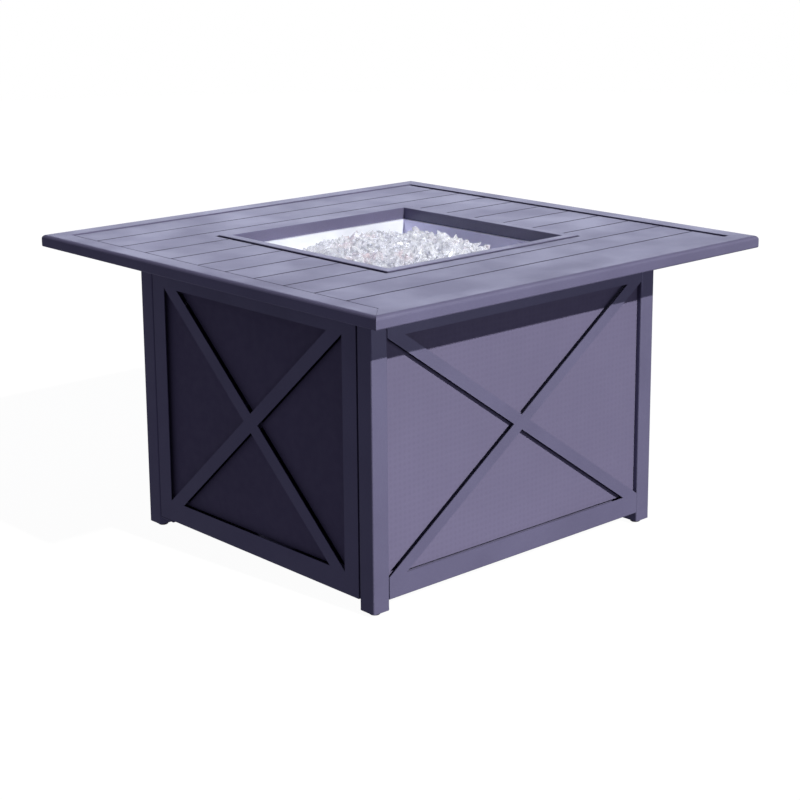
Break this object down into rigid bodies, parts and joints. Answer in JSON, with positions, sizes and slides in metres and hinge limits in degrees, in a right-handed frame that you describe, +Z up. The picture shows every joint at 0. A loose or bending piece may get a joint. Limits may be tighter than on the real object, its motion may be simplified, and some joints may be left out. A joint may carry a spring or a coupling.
{
  "type": "gas fire table",
  "caption": "Square low gas fire table: slatted top with a square burner well of fire glass, on a base of X-braced panels with a door.",
  "frame": {"origin": "on the floor under the middle of the table", "axes": "+Z up; the side with the door faces -Y, the side with the controls faces +Y; the slats run along Y"},
  "size_m": [1.0668, 1.0668, 0.635],
  "materials": {
    "powder_coat": "satin powder coat",
    "textured_coat": "fine textured powder coat",
    "stainless": "brushed",
    "aluminised_sheet": "dull mill finish",
    "brass": "turned",
    "copper_pipe": "drawn",
    "black_nylon": "moulded",
    "knob_plastic": "moulded",
    "red_plastic": "moulded",
    "ceramic": "glazed ceramic",
    "fire_glass": "crushed, clear"
  },
  "bodies": {
    "table": {"air_mixer": "brass", "burner_pan": "stainless", "burner_ring": "stainless", "control_plate": "stainless", "door_catch": "black_nylon", "door_pin_upper": "stainless", "door_pivot_bracket": "powder_coat", "fire_glass": "fire_glass", "front_apron": "powder_coat", "gas_pipe": "copper_pipe", "gas_valve": "brass", "heat_shield": "aluminised_sheet", "igniter_electrode": "ceramic", "igniter_housing": "knob_plastic", "leg_back_left": "powder_coat", "leg_back_right": "powder_coat", "leg_front_left": "powder_coat", "leg_front_right": "powder_coat", "opening_trim": "powder_coat", "pan_cradle": "powder_coat", "side_frame_back": "powder_coat", "side_frame_left": "powder_coat", "side_frame_right": "powder_coat", "side_sheet_back": "textured_coat", "side_sheet_left": "textured_coat", "side_sheet_right": "textured_coat", "slat_01": "powder_coat", "slat_02": "powder_coat", "slat_03": "powder_coat", "slat_04_back": "powder_coat", "slat_04_front": "powder_coat", "slat_05_back": "powder_coat", "slat_05_front": "powder_coat", "slat_06_back": "powder_coat", "slat_06_front": "powder_coat", "slat_07_back": "powder_coat", "slat_07_front": "powder_coat", "slat_08_back": "powder_coat", "slat_08_front": "powder_coat", "slat_09": "powder_coat", "slat_10": "powder_coat", "slat_11": "powder_coat", "slat_bearer_back": "powder_coat", "slat_bearer_front": "powder_coat", "tank_shelf": "powder_coat", "top_frame_back": "powder_coat", "top_frame_front": "powder_coat", "top_frame_left": "powder_coat", "top_frame_right": "powder_coat"},
    "door": {"door_frame": "powder_coat", "door_sheet": "textured_coat", "door_bushing": "black_nylon"},
    "knob": {"control_knob": "knob_plastic", "valve_stem": "stainless"},
    "button": {"igniter_button": "red_plastic"},
    "shutter": {"air_shutter": "stainless"},
    "foot_front_left": {"foot_front_left": "black_nylon"},
    "foot_front_right": {"foot_front_right": "black_nylon"},
    "foot_back_left": {"foot_back_left": "black_nylon"},
    "foot_back_right": {"foot_back_right": "black_nylon"}
  },
  "joints": [
    {"name": "door_hinge", "type": "hinge", "parent": "table", "child": "door", "pos_m": [-0.304, -0.3875, 0.3], "axis": [0, 0, -1], "range_deg": [0, 110]},
    {"name": "knob_turn", "type": "hinge", "parent": "table", "child": "knob", "pos_m": [0.035, 0.3985, 0.5739], "axis": [0, 1, 0], "range_deg": [0, 180]},
    {"name": "igniter_press", "type": "slide", "parent": "table", "child": "button", "axis": [0, -1, 0], "range_m": [0, 0.006], "stiffness_N_per_m": 400},
    {"name": "air_shutter_turn", "type": "hinge", "parent": "table", "child": "shutter", "pos_m": [0, 0, 0.476], "axis": [0, 0, 1], "range_deg": [0, 90]},
    {"name": "foot_front_left_turn", "type": "hinge", "parent": "table", "child": "foot_front_left", "pos_m": [-0.347, -0.3785, 0], "axis": [0, 0, 1], "continuous": true},
    {"name": "foot_front_right_turn", "type": "hinge", "parent": "table", "child": "foot_front_right", "pos_m": [0.347, -0.3785, 0], "axis": [0, 0, 1], "continuous": true},
    {"name": "foot_back_left_turn", "type": "hinge", "parent": "table", "child": "foot_back_left", "pos_m": [-0.347, 0.3785, 0], "axis": [0, 0, 1], "continuous": true},
    {"name": "foot_back_right_turn", "type": "hinge", "parent": "table", "child": "foot_back_right", "pos_m": [0.347, 0.3785, 0], "axis": [0, 0, 1], "continuous": true}
  ]
}
